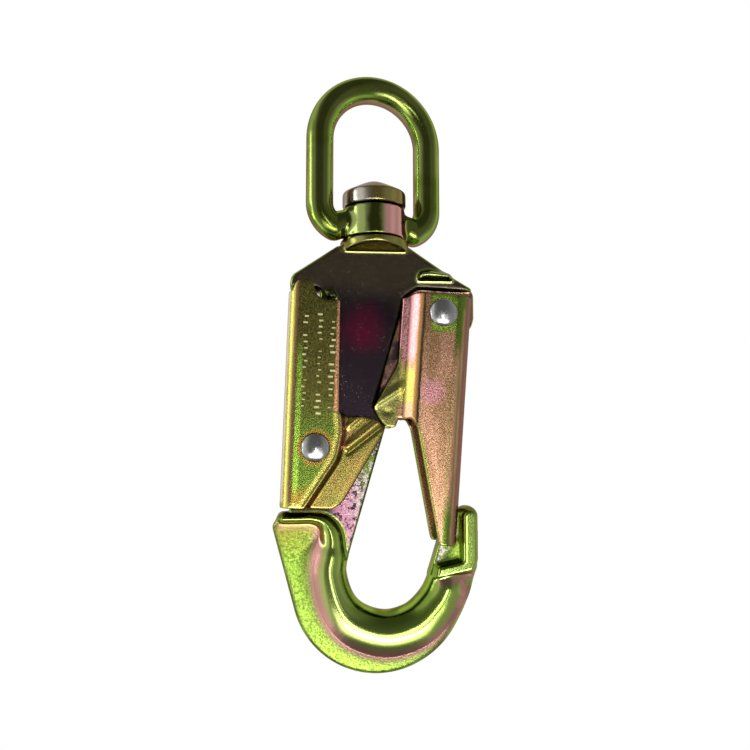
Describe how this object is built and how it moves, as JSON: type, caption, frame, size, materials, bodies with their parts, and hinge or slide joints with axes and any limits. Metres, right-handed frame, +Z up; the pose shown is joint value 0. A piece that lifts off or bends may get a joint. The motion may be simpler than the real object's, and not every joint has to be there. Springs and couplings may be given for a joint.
{
  "type": "swivel snap hook",
  "caption": "Forged swivel snap hook: a D-shaped eye turns on the hook, a sprung gate closes the throat and a sprung lever locks the gate.",
  "frame": {"origin": "inside of the eye's crown, on the swivel's axis", "axes": "+Z up along the swivel's axis, +X from the spine towards the nose and gate, -Y the front face; the hook lies in the XZ plane"},
  "size_m": [0.0543, 0.0208, 0.1608],
  "materials": {
    "eye_plating": "yellow zinc passivate, iridescent green and pink, glossy",
    "body_plating": "yellow zinc passivate over a forged, blasted skin",
    "gate_plating": "yellow zinc passivate, pink and brown bloom, satin",
    "lever_plating": "yellow zinc passivate, olive green, satin",
    "rivet_steel": "bright plain steel",
    "bushing_steel": "plain drawn steel",
    "spring_steel": "drawn spring wire"
  },
  "bodies": {
    "eye": {"swivel_eye": "eye_plating"},
    "hook": {"hook_body": "body_plating", "gate_rivet": "rivet_steel", "lever_rivet": "rivet_steel", "gate_bushing": "bushing_steel", "lever_bushing": "bushing_steel", "gate_spring_front": "spring_steel", "gate_spring_rear": "spring_steel", "lever_spring_front": "spring_steel", "lever_spring_rear": "spring_steel"},
    "gate": {"gate": "gate_plating"},
    "lock": {"lock_lever": "lever_plating"}
  },
  "joints": [
    {"name": "swivel", "type": "hinge", "parent": "eye", "child": "hook", "pos_m": [0, 0, -0.0344], "axis": [0, 0, 1], "continuous": true},
    {"name": "lever_hinge", "type": "hinge", "parent": "hook", "child": "lock", "pos_m": [-0.0158, 0, -0.0952], "axis": [0, 1, 0], "range_deg": [0, 9.5], "stiffness_Nm_per_rad": 0.6, "springref_deg": -14.32, "deforming": ["lever_spring_front", "lever_spring_rear"]},
    {"name": "gate_hinge", "type": "hinge", "parent": "hook", "child": "gate", "pos_m": [0.0176, 0, -0.0598], "axis": [0, 1, 0], "range_deg": [0, 20], "stiffness_Nm_per_rad": 0.5, "springref_deg": -22.92, "deforming": ["gate_spring_front", "gate_spring_rear"]}
  ],
  "couplings": [
    {"joint": "gate_hinge", "follows": "lever_hinge", "ratio": 2.1}
  ]
}
